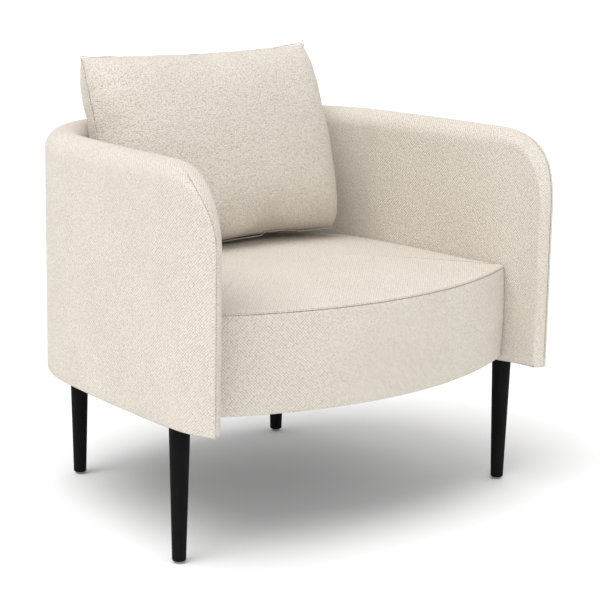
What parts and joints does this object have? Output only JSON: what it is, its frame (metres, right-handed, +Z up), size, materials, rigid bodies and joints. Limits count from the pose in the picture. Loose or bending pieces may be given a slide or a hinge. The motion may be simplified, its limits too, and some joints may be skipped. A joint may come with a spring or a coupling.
{
  "type": "upholstered armchair",
  "caption": "Tub armchair with a curved upholstered shell, fixed bowed seat, tapered legs and a loose back cushion that lifts out.",
  "frame": {"origin": "on the floor, at the middle of the bounding box's base", "axes": "+Z up; the chair faces -Y; +X towards the sitter's left arm, and the chair is symmetric about the plane X = 0"},
  "size_m": [0.79, 0.68, 0.7745],
  "materials": {
    "cream_weave": "woven, cream, low sheen",
    "cushion_boucle": "boucle, cream",
    "foam": "open-cell polyurethane foam",
    "wadding": "polyester fibre",
    "plywood": "birch plywood, unfinished",
    "beech": "beech, unfinished",
    "webbing": "woven elastic webbing, black",
    "black_cloth": "non-woven cloth, black",
    "black_stained_wood": "stained black, satin lacquer",
    "grey_plastic": "matt",
    "zip_tape": "woven tape",
    "steel": "zinc plated"
  },
  "bodies": {
    "chair": {"back_post": "beech", "base_cloth": "black_cloth", "cross_straps": "webbing", "dust_cover": "black_cloth", "dust_cover_staples": "steel", "front_left_glide": "grey_plastic", "front_left_leg": "black_stained_wood", "front_right_glide": "grey_plastic", "front_right_leg": "black_stained_wood", "inner_foam_sheet": "foam", "inner_panel": "plywood", "left_arm_post": "beech", "left_arm_strip": "cream_weave", "left_corner_block": "beech", "left_corner_post": "beech", "left_nose_foam": "foam", "left_tip_post": "beech", "leg_bolts": "steel", "leg_inserts": "steel", "long_straps": "webbing", "outer_foam_sheet": "foam", "outer_panel": "plywood", "rear_left_glide": "grey_plastic", "rear_left_leg": "black_stained_wood", "rear_right_glide": "grey_plastic", "rear_right_leg": "black_stained_wood", "right_arm_post": "beech", "right_arm_strip": "cream_weave", "right_corner_block": "beech", "right_corner_post": "beech", "right_nose_foam": "foam", "right_tip_post": "beech", "rim_foam_roll": "foam", "seat_back_rail": "beech", "seat_bolts": "steel", "seat_border": "cream_weave", "seat_cover_top": "cream_weave", "seat_felt": "wadding", "seat_foam": "foam", "seat_front_pad": "foam", "seat_front_rail": "beech", "seat_inserts": "steel", "seat_left_corner": "beech", "seat_left_rail": "beech", "seat_lining": "black_cloth", "seat_right_corner": "beech", "seat_right_rail": "beech", "seat_wadding": "wadding", "seat_washers": "steel", "shell_base_rail": "beech", "shell_cover": "cream_weave", "shell_top_rail": "plywood"},
    "cushion": {"cushion_front": "cushion_boucle", "cushion_back": "cushion_boucle", "cushion_filling": "wadding", "cushion_zip": "zip_tape"},
    "zip_slider": {"zip_slider": "steel"}
  },
  "joints": [
    {"name": "cushion_lift", "type": "slide", "parent": "chair", "child": "cushion", "axis": [0, 0, 1], "range_m": [0, 0.3]},
    {"name": "zip_travel", "type": "slide", "parent": "cushion", "child": "zip_slider", "axis": [1, 0, 0], "range_m": [0, 0.36]}
  ]
}
